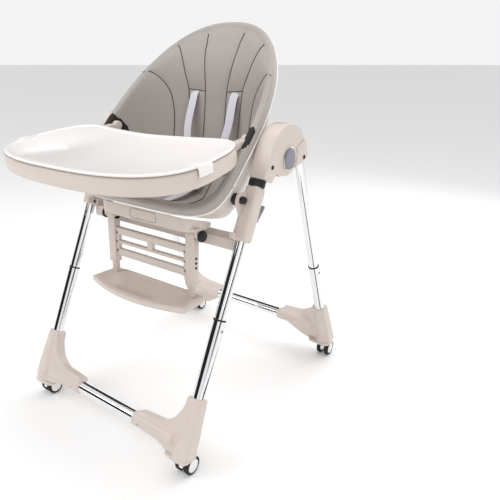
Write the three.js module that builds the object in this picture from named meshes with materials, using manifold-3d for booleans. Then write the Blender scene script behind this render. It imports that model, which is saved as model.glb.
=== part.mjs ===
// Folding baby high chair with an egg-shaped reclining bucket, a tray and a footrest.
// Millimetres, +Z up, the child faces -Y, "right" is the +X side.
// The origin is on the floor under the middle of the chair.
import * as THREE from 'three';
import { mergeVertices } from 'three/addons/utils/BufferGeometryUtils.js';
import Module from 'manifold-3d';

const wasm = await Module();
wasm.setup();

// Driving dimensions
const hingeY = 37;
const hingeZ = 730;
const frontLean = THREE.MathUtils.degToRad(24.3);
const rearLean = THREE.MathUtils.degToRad(24.1);
const frontX = 270;
const rearX = 280;
const frontAhead = 70;
const rearBehind = 74;
const lowerTube = 16;
const upperTube = 14.2;
const tubeWall = 1.4;
const ringZ = 372;
const housingRadius = 84;
const housingInner = 254;
const housingOuter = 300;
const plateOuter = 263;
const lugOuter = 285;
const lugRadius = 43;
const buttonRadius = 25;
const hubRadius = 42;
const socketHalf = 20;
const socketBottom = 690;
const collarBottom = 674;
const sleeveTop = 672;
const sleeveBottom = 551;
const sleeveInner = 252.5;
const beamHalf = 252;
const gap = 0.4;
const barZ = 90;
const wheelRadius = 25;
const hoodRadius = 26.4;
const footLow = 52;
const trail = 18;
const rimTilt = THREE.MathUtils.degToRad(44.6);
const rimY = hingeY - 140;
const rimZ = hingeZ;
const rimHalf = 247;
const rimMiddle = 32;
const rimUp = 406;
const rimDown = 179;
const poleS = 20;
const bucketDepth = 212;
const shellWall = 4;
const padThick = 14;
const rimDeep = 22;
const bandDeep = 16;
const reclineY = -107;
const reclineZ = 650;
const traySlope = THREE.MathUtils.degToRad(6.8);
const trayY = -275;
const trayZ = 769;
const trayHalf = 296;
const trayFront = 172;
const trayDeep = 46;
const insertThick = 5.6;
const cupX = -127;
const cupY = -86;
const cupRadius = 57;
const latchFront = -40;
const latchRear = 3;
const latchLow = -33;
const armPivot = [238, -21.3];
const footrestY = -140;
const footrestZ = 550;

// Finishes
const plastic = new THREE.MeshStandardMaterial({ color: 0xdccfc5, roughness: 0.45 });
const white = new THREE.MeshStandardMaterial({ color: 0xf2eeec, roughness: 0.4 });
const grey = new THREE.MeshStandardMaterial({ color: 0x8b8893, roughness: 0.5 });
const black = new THREE.MeshStandardMaterial({ color: 0x1b1a1a, roughness: 0.6 });
const chrome = new THREE.MeshStandardMaterial({ color: 0xe8e8ea, roughness: 0.05, metalness: 1 });
const leather = new THREE.MeshStandardMaterial({ color: 0xa9a19c, roughness: 0.55 });
const webbing = new THREE.MeshStandardMaterial({ color: 0xd9d6e0, roughness: 0.9 });
const hood = new THREE.MeshStandardMaterial({ color: 0xe4e3e2, roughness: 0.35 });

const group = new THREE.Group();
const sides = [['left', -1], ['right', 1]];

// ---- helpers -------------------------------------------------------------

function add(parent, name, geometry, material) {
  const mesh = new THREE.Mesh(geometry, material);
  mesh.name = name;
  parent.add(mesh);
  return mesh;
}

function place(parent, x, y, z, turn) {
  const holder = new THREE.Group();
  holder.position.set(x, y, z);
  holder.rotation.x = turn;
  parent.add(holder);
  return holder;
}

function solid(geometry) {
  const bare = geometry.clone();
  bare.deleteAttribute('normal');
  bare.deleteAttribute('uv');
  const merged = mergeVertices(bare, 1e-4);
  return new wasm.Manifold(new wasm.Mesh({
    numProp: 3,
    vertProperties: new Float32Array(merged.attributes.position.array),
    triVerts: new Uint32Array(merged.index.array),
  }));
}

function geometryOf(manifold) {
  const mesh = manifold.getMesh();
  const geometry = new THREE.BufferGeometry();
  geometry.setAttribute('position', new THREE.BufferAttribute(new Float32Array(mesh.vertProperties), 3));
  geometry.setIndex(new THREE.BufferAttribute(new Uint32Array(mesh.triVerts), 1));
  return geometry;
}

function join(...parts) {
  return geometryOf(parts.map(solid).reduce((all, part) => all.add(part)));
}

function cut(body, ...tools) {
  return geometryOf(tools.map(solid).reduce((left, tool) => left.subtract(tool), solid(body)));
}

// The same shape on the other side of the chair.
function mirrored(geometry) {
  const copy = geometry.index ? geometry.toNonIndexed() : geometry.clone();
  copy.scale(-1, 1, 1);
  const at = copy.attributes.position;
  for (let i = 0; i < at.count; i += 3) {
    const hold = [at.getX(i), at.getY(i), at.getZ(i)];
    at.setXYZ(i, at.getX(i + 1), at.getY(i + 1), at.getZ(i + 1));
    at.setXYZ(i + 1, ...hold);
  }
  copy.deleteAttribute('normal');
  copy.deleteAttribute('uv');
  return mergeVertices(copy, 1e-4);
}

function sided(geometry, side) {
  return side > 0 ? geometry : mirrored(geometry);
}

function box(x0, x1, y0, y1, z0, z1) {
  const geometry = new THREE.BoxGeometry(x1 - x0, y1 - y0, z1 - z0);
  return geometry.translate((x0 + x1) / 2, (y0 + y1) / 2, (z0 + z1) / 2);
}

// A turned shape about Z, from (radius, height) pairs that start and end on the axis or close.
function turned(profile, steps = 20) {
  const points = profile.map(([r, h]) => new THREE.Vector2(r, h));
  return new THREE.LatheGeometry(points, steps).rotateX(Math.PI / 2);
}

function rod(radius, low, high, steps = 20) {
  return turned([[0, low], [radius, low], [radius, high], [0, high]], steps);
}

function tube(outer, inner, low, high, steps = 20) {
  return turned([[inner, low], [outer, low], [outer, high], [inner, high], [inner, low]], steps);
}

// A shape turned about Z is laid along X instead.
function alongX(geometry) {
  return geometry.rotateY(Math.PI / 2);
}

function shapeOf(points) {
  return new THREE.Shape(points.map(([a, b]) => new THREE.Vector2(a, b)));
}

function arc(cx, cy, radius, from, to, steps) {
  return Array.from({ length: steps + 1 }, (_, i) => {
    const angle = THREE.MathUtils.degToRad(from + (to - from) * i / steps);
    return [cx + radius * Math.cos(angle), cy + radius * Math.sin(angle)];
  });
}

// An outline in (y, z), carried along X from x0 to x1, with an optional chamfer.
function sidePlate(shape, x0, x1, bevel = 0) {
  const geometry = new THREE.ExtrudeGeometry(shape, {
    depth: x1 - x0 - 2 * bevel,
    bevelEnabled: bevel > 0,
    bevelThickness: bevel,
    bevelSize: bevel,
    bevelOffset: -bevel,
    bevelSegments: 1,
    curveSegments: 6,
  });
  geometry.translate(0, 0, x0 + bevel);
  return geometry.applyMatrix4(new THREE.Matrix4().set(0, 0, 1, 0, 1, 0, 0, 0, 0, 1, 0, 0, 0, 0, 0, 1));
}

// An outline in (x, z), carried along Y from y0 to y1, with an optional chamfer.
function frontPlate(shape, y0, y1, bevel = 0) {
  const geometry = new THREE.ExtrudeGeometry(shape, {
    depth: y1 - y0 - 2 * bevel,
    bevelEnabled: bevel > 0,
    bevelThickness: bevel,
    bevelSize: bevel,
    bevelOffset: -bevel,
    bevelSegments: 1,
    curveSegments: 6,
  });
  return geometry.translate(0, 0, bevel - (y1 - y0)).rotateX(Math.PI / 2).translate(0, y0, 0);
}

// An outline in (x, y), carried up along Z from z0 to z1.
function flatPlate(shape, z0, z1, bevel = 0) {
  const geometry = new THREE.ExtrudeGeometry(shape, {
    depth: z1 - z0 - 2 * bevel,
    bevelEnabled: bevel > 0,
    bevelThickness: bevel,
    bevelSize: bevel,
    bevelOffset: -bevel,
    bevelSegments: 1,
    curveSegments: 6,
  });
  return geometry.translate(0, 0, z0 + bevel);
}

function roundedBox(halfWide, halfDeep, radius, low, high) {
  const corners = [[1, 1, 0], [-1, 1, 90], [-1, -1, 180], [1, -1, 270]];
  const points = corners.flatMap(([sx, sy, from]) =>
    arc(sx * (halfWide - radius), sy * (halfDeep - radius), radius, from, from + 90, 3));
  return flatPlate(shapeOf(points), low, high);
}

// Distance along a leg, up from hinge height, of a height above the floor.
function onFront(z) {
  return (z - hingeZ) / Math.cos(frontLean);
}

function onRear(z) {
  return (z - hingeZ) / Math.cos(rearLean);
}

// ---- legs, crossbars and feet --------------------------------------------

function legs(name, side, x, ahead, lean, on, footZ) {
  const leg = place(group, side * x, hingeY + ahead, hingeZ, lean);
  add(leg, `${name}_leg_lower_${side > 0 ? 'right' : 'left'}`,
    tube(lowerTube, lowerTube - tubeWall, on(footZ), on(ringZ)), chrome);
  add(leg, `${name}_leg_upper_${side > 0 ? 'right' : 'left'}`,
    tube(upperTube, upperTube - tubeWall, on(ringZ - 60), 12), chrome);
}

function crossbar(name, y, z, half) {
  const bar = place(group, 0, y, z, 0);
  add(bar, name, alongX(tube(lowerTube, lowerTube - tubeWall, -half, half)), chrome);
}

// The corner foot joins a leg, a crossbar and a caster; its web lies in the plane of the leg.
function footSolid(x, inner, crossZ, neckZ, lean, seat) {
  const on = (z) => z / Math.cos(lean);
  const outline = shapeOf([
    [inner, on(crossZ - 19)], [x - 62, on(62)], [x - 40, on(footLow)], [x + 22, on(footLow)],
    [x + 30, on(60)], [x + 29, on(96)], [x + 21, on(neckZ)], [x - 21, on(neckZ)],
    [x - 27, on(crossZ + 72)], [x - 42, on(crossZ + 45)], [x - 68, on(crossZ + 27)],
    [x - 100, on(crossZ + 20)], [inner, on(crossZ + 19)],
  ]);
  return frontPlate(outline, -20 + seat, 20 + seat, 7);
}

function foot(name, side, x, inner, crossZ, neckZ, lean, floorY, barY, casterY) {
  const turnedWeb = footSolid(x, inner, crossZ, neckZ, lean, 0).rotateX(-lean).translate(0, floorY, 0);
  const arm = alongX(rod(19.5, inner, x - 20)).translate(0, barY, crossZ);
  const cup = rod(29, footLow, 76, 16).translate(x, casterY, 0);
  const legBore = rod(lowerTube + gap, 96 / Math.cos(lean), 300).rotateX(-lean).translate(x, floorY, 0);
  const barBore = alongX(rod(lowerTube + gap, inner - 20, x - 66)).translate(0, barY, crossZ);
  const stemBore = rod(5.4, 30, 66, 10).translate(x, casterY, 0);
  const below = box(0, x + 80, casterY - 90, casterY + 90, -60, footLow);
  const cover = cut(join(turnedWeb, arm, cup), legBore, barBore, stemBore, below);
  add(group, name, sided(cover, side), plastic);
}

// ---- casters --------------------------------------------------------------

function caster(name, x, y) {
  const at = place(group, x, y, 0, 0);
  const halfCover = arc(trail, wheelRadius, hoodRadius, 15, 175, 8);
  const cover = shapeOf([...halfCover, ...arc(trail, wheelRadius, 8, 175, 15, 4)]);
  const body = join(sidePlate(cover, -6, 6), rod(5, 40, 64, 10), box(-6, 6, -6, 12, 34, 46));
  const bore = alongX(rod(3.4, -10, 10, 10)).translate(0, trail, wheelRadius);
  add(at, `caster_hood_${name}`, cut(body, bore), hood);
  const r = wheelRadius / Math.cos(Math.PI / 16);
  const wheel = [[0, -21], [14, -21], [r - 2, -20], [r, -18], [r, -8.5], [r - 2, -6.5], [3, -6.5], [3, 6.5],
    [r - 2, 6.5], [r, 8.5], [r, 18], [r - 2, 20], [14, 21], [0, 21]];
  const wheels = turned(wheel, 16).rotateZ(Math.PI / 16);
  add(at, `caster_wheels_${name}`, alongX(wheels).translate(0, trail, wheelRadius), black);
}

// ---- hinge housings --------------------------------------------------------

// The front half: a dome with the front leg socket, an inner plate and an outer hub.
function frontHousing() {
  const c = Math.cos(frontLean);
  const s = Math.sin(frontLean);
  const down = (socketBottom - hingeZ) / c;
  const axisPoint = ([across, along]) => [-frontAhead + across * c + along * s, -across * s + along * c];
  const dome = shapeOf(arc(0, 0, housingRadius, -26, 206, 26));
  const socket = shapeOf([[-socketHalf, 30], [-socketHalf, down], [socketHalf + 2, down],
    [socketHalf + 12, down + 22], [socketHalf + 40, 30]].map(axisPoint));
  const body = join(sidePlate(dome, housingInner, housingOuter, 3), sidePlate(socket, housingInner, housingOuter - 4, 2));
  const sweep = shapeOf([...arc(0, 0, housingRadius + 20, -100, 27, 14), ...arc(0, 0, hubRadius, 27, -100, 12)]);
  const rearRoom = sidePlate(sweep, plateOuter, housingOuter + 5);
  const lugRoom = alongX(rod(lugRadius + gap, plateOuter, lugOuter + gap, 24));
  const recess = alongX(rod(buttonRadius + gap, 294, housingOuter + 5, 24));
  const pin = alongX(rod(8 + gap, housingInner - 5, housingOuter, 12));
  const legBore = rod(upperTube + gap, -200, 12 + gap).rotateX(-frontLean).translate(frontX, -frontAhead, 0);
  return cut(body, rearRoom, lugRoom, recess, pin, legBore);
}

// The rear half: an outer sector that turns past the hub, with the rear leg socket.
function rearHousing() {
  const c = Math.cos(rearLean);
  const s = Math.sin(rearLean);
  const down = (socketBottom - hingeZ) / c;
  const axisPoint = ([across, along]) => [rearBehind + across * c - along * s, across * s + along * c];
  const sector = shapeOf([...arc(0, 0, housingRadius, -24, 26.4, 8), ...arc(0, 0, hubRadius + gap, 26.4, -36, 12)]);
  const socket = shapeOf([[socketHalf, 0], [-socketHalf + 2, 0], [-socketHalf, down], [socketHalf, down]].map(axisPoint));
  const lug = alongX(rod(lugRadius, plateOuter + gap, lugOuter, 24));
  const body = join(sidePlate(sector, plateOuter + gap, housingOuter + 1), lug,
    sidePlate(socket, plateOuter + gap, housingOuter + 1));
  const pin = alongX(rod(8 + gap, housingInner - 5, housingOuter, 12));
  const legBore = rod(upperTube + gap, -200, 12 + gap).rotateX(rearLean).translate(rearX, rearBehind, 0);
  return cut(body, pin, legBore);
}

function foldButton() {
  return alongX(turned([[0, 260], [7.6, 260], [7.6, 298.4], [buttonRadius, 298.4], [buttonRadius, 304.5],
    [buttonRadius - 2, 306], [0, 306]], 24));
}

// ---- seat carriage ---------------------------------------------------------

// A point of the seat's side view, in the frame of the front leg.
function alongFrontLeg(y, z) {
  const c = Math.cos(frontLean);
  const s = Math.sin(frontLean);
  const across = y - hingeY + frontAhead;
  const up = z - hingeZ;
  return [across * c - up * s, across * s + up * c];
}

function sleeve() {
  const top = onFront(sleeveTop);
  const low = onFront(sleeveBottom);
  const [boltY, boltZ] = alongFrontLeg(reclineY, reclineZ);
  const body = roundedBox(18.5, 20, 7, low, top).translate(frontX + 1, 0, 0);
  const lobeShape = shapeOf([[-10, boltZ + 26], [-10, boltZ - 36], ...arc(boltY, boltZ, 13, 215, 120, 5)]);
  const lobe = sidePlate(lobeShape, sleeveInner, sleeveInner + 8.5);
  const bore = rod(upperTube + gap, low - 10, top + 10).translate(frontX, 0, 0);
  const pivot = alongX(rod(5 + gap, 240, 300, 10)).translate(0, boltY, boltZ);
  return cut(join(body, lobe), bore, pivot);
}

function heightLever() {
  const root = onFront(sleeveBottom) + 58;
  const paddle = shapeOf([[20.6, root], [26, root - 2], [37, root + 36], [32, root + 38], [21, root + 12]]);
  return sidePlate(paddle, frontX - 6, frontX + 8);
}

// The beam between the sleeves, hollow from above, with an upright at each end.
function crossbeam() {
  const beam = box(-beamHalf, beamHalf, -112, -66, 520, 551);
  const upright = sidePlate(
    shapeOf([[-112, 520], [-66, 520], [-60, 600], [-56, 628], [-80, 632], [-112, 560]]), 242, beamHalf);
  return cut(join(beam, upright, mirrored(upright)), box(-232, 232, -108, -70, 525, 560));
}

// The bolt that holds the bucket on a sleeve, with the plate that meets the bucket.
function seatBracket() {
  const plate = rod(14, 241.5, 250, 16);
  const bolt = rod(5, 249, 266, 10);
  const head = rod(9, 261.6, 274, 16);
  return alongX(join(plate, bolt, head)).translate(0, reclineY, reclineZ);
}

function seatBase() {
  const front = -171;
  const rear = -112.6;
  const half = 178;
  const corner = 40;
  const outline = (inset) => shapeOf([
    [-half + inset, rear], ...arc(-half + corner, front + corner, corner - inset, 180, 270, 5),
    ...arc(half - corner, front + corner, corner - inset, 270, 360, 5), [half - inset, rear],
  ]);
  const block = flatPlate(outline(0), 558, 606);
  const above = flatPlate(outline(4), 576, 620).translate(0, 0.01, 0);
  const below = flatPlate(outline(4), 550, 571);
  const web = box(-118, 118, rear - 7, rear, 528, 574);
  const ear = sidePlate(
    shapeOf([[-155, 573], [-155, 550], ...arc(footrestY, footrestZ, 13, 190, 350, 6), [-125, 573]]), 158, 166);
  const pins = alongX(rod(5 + gap, -200, 200, 10)).translate(0, footrestY, footrestZ);
  const knobRoom = alongX(rod(17, 167, 190)).translate(0, footrestY, footrestZ);
  const bowl = bucketFrame(skin([0, bucketDepth + 5, poleS],
    [...bowlRings(5, 5, shares), rimRing(5, -30)], [0, -30, poleS]));
  const walls = cut(block, above, below);
  return cut(join(walls, web, ear, mirrored(ear)), pins, knobRoom, mirrored(knobRoom), bowl);
}

// ---- bucket ----------------------------------------------------------------

// Bucket coordinates: X across, Y into the bucket from its rim, Z up along the rim.
function bucketFrame(geometry) {
  return geometry.clone().rotateX(-rimTilt).translate(0, rimY, rimZ);
}

// The rim's outline: a tall half above the widest line, a short square half below it.
function rimPoint(angle, grow) {
  const c = Math.cos(angle);
  const s = Math.sin(angle);
  const power = s > 0 ? 2.3 : 5.2;
  const high = (s > 0 ? rimUp : rimDown) + grow;
  return [
    Math.sign(c) * (rimHalf + grow) * Math.abs(c) ** (2 / power),
    rimMiddle + Math.sign(s) * high * Math.abs(s) ** (2 / power),
  ];
}

// A point of the bowl: share runs from 0 at the deepest point to 1 at the rim.
function bowlPoint(angle, share, grow, sink) {
  const [x, s] = rimPoint(angle, grow);
  const up = Math.max(0, Math.sin(angle)) ** 2;
  const low = Math.max(0, -Math.sin(angle)) ** 2;
  const level = 1 - up - low;
  const first = 2.5 * up + 3 * level + 1.8 * low;
  const second = 3 * up + 0.7 * level + 1.0 * low;
  const depth = rimDeep + sink + (bucketDepth - rimDeep) * Math.max(0, 1 - share ** first) ** second;
  return [x * share, depth, poleS + (s - poleS) * share];
}

function spread(a, b) {
  return Math.hypot(a[0] - b[0], a[1] - b[1], a[2] - b[2]);
}

// A closed skin from rings of points, capped at each end by one point.
function skin(start, rings, end) {
  const across = rings[0].length;
  const points = [start, ...rings.flat(), end];
  const index = [];
  for (let i = 0; i < across; i += 1) {
    const next = (i + 1) % across;
    index.push(0, 1 + i, 1 + next);
    for (let k = 0; k + 1 < rings.length; k += 1) {
      const low = 1 + k * across;
      const high = low + across;
      const rising = spread(points[low + i], points[high + next]);
      const falling = spread(points[low + next], points[high + i]);
      index.push(...(falling < rising
        ? [low + i, high + i, low + next, low + next, high + i, high + next]
        : [low + i, high + i, high + next, low + i, high + next, low + next]));
    }
    const last = 1 + (rings.length - 1) * across;
    index.push(last + i, points.length - 1, last + next);
  }
  const geometry = new THREE.BufferGeometry();
  geometry.setAttribute('position', new THREE.Float32BufferAttribute(points.flat(), 3));
  geometry.setIndex(index);
  return facingOut(geometry);
}

// The same skin, with its triangles turned over where it would face inwards.
function facingOut(geometry) {
  const at = geometry.attributes.position;
  const index = geometry.index.array;
  const [a, b, c] = [new THREE.Vector3(), new THREE.Vector3(), new THREE.Vector3()];
  let volume = 0;
  for (let i = 0; i < index.length; i += 3) {
    a.fromBufferAttribute(at, index[i]);
    b.fromBufferAttribute(at, index[i + 1]);
    c.fromBufferAttribute(at, index[i + 2]);
    volume += a.dot(b.cross(c));
  }
  if (volume < 0) {
    for (let i = 0; i < index.length; i += 3) {
      [index[i], index[i + 1]] = [index[i + 1], index[i]];
    }
  }
  return geometry;
}

const around = 40;
const angles = Array.from({ length: around }, (_, i) => 2 * Math.PI * (i + 0.5) / around);
const shares = [0.25, 0.45, 0.62, 0.76, 0.88, 0.96, 1];

function bowlRings(grow, sink, list) {
  return list.map((share) => angles.map((angle) => bowlPoint(angle, share, grow, sink)));
}

function rimRing(grow, depth) {
  return angles.map((angle) => {
    const [x, s] = rimPoint(angle, grow);
    return [x, depth, s];
  });
}

function shellSolid() {
  const outside = bowlRings(0, 0, shares);
  const inside = bowlRings(-shellWall, -shellWall, shares).reverse();
  const lip = [rimRing(0, 1), rimRing(-shellWall, 1)];
  return skin([0, bucketDepth, poleS], [...outside, ...lip, ...inside], [0, bucketDepth - shellWall, poleS]);
}

// The pad lines the bucket and rolls over its rim.
function padSolid() {
  const back = -shellWall - 1;
  const face = -shellWall - padThick;
  const behind = bowlRings(back, back, shares);
  const inFront = bowlRings(face, face, shares).reverse();
  const roll = [rimRing(back, 0), rimRing(1, 0), rimRing(1, bandDeep), rimRing(4, bandDeep), rimRing(4, -4),
    rimRing(-2, -9), rimRing(-12, -7)];
  const pad = skin([0, bucketDepth + back, poleS], [...behind, ...roll, ...inFront],
    [0, bucketDepth + face, poleS]);
  const notch = box(200, rimHalf - shellWall - 1, -16, 34, 28, 112);
  return cut(pad, notch, mirrored(notch));
}

function reclineHandle() {
  const profile = shapeOf([[37, 360], [42, 367], [98, 336], [93, 326], [60, 336], [46, 345]]);
  return sidePlate(profile, -42, 42, 3);
}

function storageHook() {
  const bar = box(-58, 58, 115, 121, 253, 270);
  const prong = sidePlate(shapeOf([[120, 254], [132, 262], [138, 288], [132, 290], [125, 270], [120, 268]]), 38, 50);
  return join(bar, prong, mirrored(prong));
}

// A flat strap through points in bucket coordinates, as wide as given on each side of them.
function ribbon(points, half, thick) {
  const curve = new THREE.CatmullRomCurve3(points.map((p) => new THREE.Vector3(...p)), false, 'centripetal');
  const rings = curve.getPoints(10).map((p) => [
    [p.x - half, p.y, p.z], [p.x + half, p.y, p.z], [p.x + half, p.y - thick, p.z], [p.x - half, p.y - thick, p.z]]);
  const middle = (ring) => ring[0].map((_, i) => (ring[0][i] + ring[2][i]) / 2);
  return skin(middle(rings[0]), rings, middle(rings[rings.length - 1]));
}

// ---- tray ------------------------------------------------------------------

// The tray's outline, drawn in the plane of its top: a bowed front and a hollowed rear edge.
function trayOutline(inset) {
  const half = trayHalf - inset;
  const front = trayFront - inset;
  const bow = Array.from({ length: 25 }, (_, i) => {
    const angle = Math.PI * (1 + i / 24);
    const [c, s] = [Math.cos(angle), Math.sin(angle)];
    return [Math.sign(c) * half * Math.abs(c) ** (2 / 2.67), -front * Math.abs(s) ** (2 / 2.67)];
  });
  const rear = [[290, 60], [284, 92], [270, 128], [251, 151], [225, 160], [190, 158], [110, 142], [0, 130]]
    .map(([x, y]) => [x - inset * (x > 200 ? 1 : 0), y - inset * (x < 255 ? 1 : 0.5)]);
  const other = rear.slice(0, -1).reverse().map(([x, y]) => [-x, y]);
  return shapeOf([...bow, ...rear, ...other]);
}

function latchNotch(side) {
  const notch = box(trayHalf - 22, trayHalf + 10, latchFront - gap, latchRear + gap, -9, 5);
  return sided(notch, side);
}

function trayBase() {
  const top = -insertThick - gap;
  const body = flatPlate(trayOutline(0), -trayDeep, top, 2.5);
  const under = flatPlate(trayOutline(5), -trayDeep - 5, top - 4);
  const cup = rod(cupRadius + gap, -30, 0, 24).translate(cupX, cupY, 0);
  const armWay = box(214, 242, 90, 200, -trayDeep - 1, top - 4);
  return cut(body, under, cup, armWay, mirrored(armWay));
}

function trayInsert() {
  const plate = flatPlate(trayOutline(1.5), -insertThick, 0, 1);
  const floor = flatPlate(trayOutline(16), -2.6, 5);
  const dish = rod(cupRadius, -16, -insertThick + 1, 24).translate(cupX, cupY, 0);
  const hollow = rod(cupRadius - 3, -13.5, 5, 24).translate(cupX, cupY, 0);
  return cut(join(plate, dish), floor, hollow, latchNotch(1), latchNotch(-1));
}

// A clip over the tray's edge, hinged along the bottom of its outer side.
function trayLatch() {
  const top = 1;
  const tab = box(trayHalf - 21, trayHalf + 4, latchFront, latchRear, -insertThick, top);
  const cheek = box(trayHalf + 0.7, trayHalf + 4.5, latchFront, latchRear, latchLow, top);
  return join(tab, cheek);
}

function crotchPost() {
  const top = -insertThick - 5;
  return sidePlate(shapeOf([[122, top], [88, top], [90, -60], [96, -108], [104, -114], [114, -108], [120, -60]]),
    -20, 20, 3);
}

function trayButton() {
  return box(250, 274, 70, 86, -56, -insertThick - 9);
}

function trayArm() {
  const [y, z] = armPivot;
  const bar = box(216, 237, 35, y, z - 8, z + 8);
  const barrel = alongX(rod(13, 214, 238.5, 20)).translate(0, y, z);
  return join(bar, barrel);
}

// ---- footrest --------------------------------------------------------------

// The ladder hangs from its pivot; its rails are open channels that take the foot plate's stems.
function footrestFrame() {
  const front = -14;
  const rear = 10;
  const rail = box(128, 156, front, rear, -138, 0);
  const head = alongX(rod(12, 128, 156)).translate(0, -2, 0);
  const bars = [box(-130, 130, front + 4, rear - 6, -53, -33), box(-130, 130, front + 4, rear - 6, -79, -71),
    box(-130, 130, front + 4, rear - 6, -116, -96), box(-8, 8, front + 4, rear - 6, -75, -50),
    box(122, 130, front + 4, rear - 6, -110, -40)];
  const room = box(132, 152, front + 4, rear + 2, -150, -24);
  const pin = alongX(rod(5 + gap, 120, 160, 10));
  const other = [rail, head, bars[4]].map(mirrored);
  return cut(join(rail, head, ...bars, ...other), room, mirrored(room), pin, mirrored(pin));
}

function footrestPlate() {
  const half = 172;
  const bow = Array.from({ length: 13 }, (_, i) => {
    const x = half * (2 * i / 12 - 1);
    return [x, -68 - 37 * (1 - (x / half) ** 2)];
  });
  const deck = flatPlate(shapeOf([...bow, [half - 4, 20], [120, 28], [-120, 28], [-half + 4, 20]]), -189, -171, 3);
  const stem = box(132.6, 151.4, -9.4, 6, -175, -60);
  return join(deck, stem, mirrored(stem));
}

function footrestKnob() {
  const stem = rod(5, 140, 172, 10);
  const cap = turned([[0, 169.6], [15, 169.6], [15, 177], [13, 179], [0, 179]]);
  return alongX(join(stem, cap));
}

// ---- assembly --------------------------------------------------------------

const frontFrame = place(group, 0, hingeY - frontAhead, hingeZ, -frontLean);
const bucket = place(group, 0, rimY, rimZ, -rimTilt);
const tray = place(group, 0, trayY, trayZ, traySlope);
const footrest = place(group, 0, footrestY, footrestZ, 0);

crossbar('front_crossbar', -330, barZ, 200);
crossbar('rear_crossbar', 359, 132, 210);
add(group, 'seat_crossbeam', crossbeam(), plastic);
add(group, 'seat_base', seatBase(), plastic);
add(bucket, 'seat_shell', shellSolid(), plastic);
add(bucket, 'seat_pad', padSolid(), leather);
add(bucket, 'recline_handle', reclineHandle(), grey);
add(bucket, 'storage_hook', storageHook(), plastic);
add(bucket, 'crotch_strap', ribbon([[0, 104, -72], [0, 148, -30], [0, 178, 11]], 12.5, 2), webbing);
add(bucket, 'harness_buckle', roundedBox(24, 7, 6, 12, 62).translate(0, 178, 0), white);
add(tray, 'tray_base', trayBase(), plastic);
add(tray, 'tray_insert', trayInsert(), white);
add(tray, 'crotch_post', crotchPost(), plastic);
add(footrest, 'footrest_frame', footrestFrame(), plastic);
add(footrest, 'footrest_plate', footrestPlate(), plastic);

for (const [name, side] of sides) {
  legs('front', side, frontX, -frontAhead, -frontLean, onFront, 100);
  legs('rear', side, rearX, rearBehind, rearLean, onRear, 100);
  foot(`front_foot_${name}`, side, frontX, 105, barZ, 194, frontLean, -362.6, -330, -335);
  foot(`rear_foot_${name}`, side, rearX, 127, 132, 208, -rearLean, 437.7, 359, 405);
  caster(`front_${name}`, side * frontX, -335);
  caster(`rear_${name}`, side * rearX, 405);
  const hinge = place(group, 0, hingeY, hingeZ, 0);
  add(hinge, `hinge_front_${name}`, sided(frontHousing(), side), plastic);
  add(hinge, `hinge_rear_${name}`, sided(rearHousing(), side), plastic);
  add(hinge, `fold_button_${name}`, sided(foldButton(), side), grey);
  const collar = tube(20.5, upperTube + gap, onFront(collarBottom), onFront(socketBottom) - gap)
    .translate(side * frontX, 0, 0);
  add(frontFrame, `leg_collar_${name}`, collar, black);
  add(frontFrame, `sleeve_${name}`, sided(sleeve(), side), plastic);
  add(frontFrame, `height_lever_${name}`, sided(heightLever(), side), grey);
  add(group, `seat_bracket_${name}`, sided(seatBracket(), side), black);
  const shoulder = ribbon([[side * 70, 56, 268], [side * 66, 126, 150], [side * 14, 177, 63]], 12.5, 2);
  add(bucket, `shoulder_strap_${name}`, shoulder, webbing);
  add(tray, `tray_arm_${name}`, sided(trayArm(), side), plastic);
  add(tray, `tray_latch_${name}`, sided(trayLatch(), side), white);
  add(tray, `tray_button_${name}`, sided(trayButton(), side), black);
  add(footrest, `footrest_knob_${name}`, sided(footrestKnob(), side), black);
}

export default group;
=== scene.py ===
import math
import bmesh
import bpy
from mathutils import Matrix, Vector
from mathutils.kdtree import KDTree


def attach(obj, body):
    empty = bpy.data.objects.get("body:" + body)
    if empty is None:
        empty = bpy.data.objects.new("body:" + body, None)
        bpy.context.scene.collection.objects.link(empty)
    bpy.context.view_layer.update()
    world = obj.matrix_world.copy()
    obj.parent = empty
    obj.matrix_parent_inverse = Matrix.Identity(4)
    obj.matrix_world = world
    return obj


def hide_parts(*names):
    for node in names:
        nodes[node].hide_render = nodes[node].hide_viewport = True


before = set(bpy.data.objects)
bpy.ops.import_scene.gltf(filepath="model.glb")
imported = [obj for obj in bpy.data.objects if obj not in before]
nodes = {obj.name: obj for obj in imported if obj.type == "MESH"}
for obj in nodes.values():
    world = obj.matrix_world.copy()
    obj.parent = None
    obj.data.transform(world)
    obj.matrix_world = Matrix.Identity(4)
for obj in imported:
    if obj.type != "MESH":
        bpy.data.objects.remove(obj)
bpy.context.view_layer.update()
sides = (("left", -1), ("right", 1))

# places shared by several pieces, in millimetres
chair = {
    "hinge": (37, 730), "frontLean": math.radians(24.3), "rearLean": math.radians(24.1),
    "frontX": 270, "rearX": 280, "frontAhead": 70, "rearBehind": 74,
    "rim": (-103, 730), "rimTilt": math.radians(44.6),
    "tray": (-275, 769), "traySlope": math.radians(6.8), "armPivot": (238, -21.3),
    "recline": (-107, 650), "footrest": (-140, 550),
}


def linear(hexColour):
    parts = [int(hexColour[i:i + 2], 16) / 255 for i in (1, 3, 5)]
    return tuple(c / 12.92 if c <= 0.04045 else ((c + 0.055) / 1.055) ** 2.4 for c in parts) + (1.0,)


# ---------- materials

def addNode(tree, kind, settings=None, links=None):
    node = tree.nodes.new("ShaderNode" + kind)
    for key, value in (settings or {}).items():
        if hasattr(node, str(key)):
            setattr(node, key, value)
        else:
            node.inputs[key].default_value = value
    for key, source in (links or {}).items():
        tree.links.new(source, node.inputs[key])
    return node


def newMaterial(name):
    material = bpy.data.materials.new(name)
    material.use_nodes = True
    tree = material.node_tree
    return material, tree, tree.nodes["Principled BSDF"]


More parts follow.
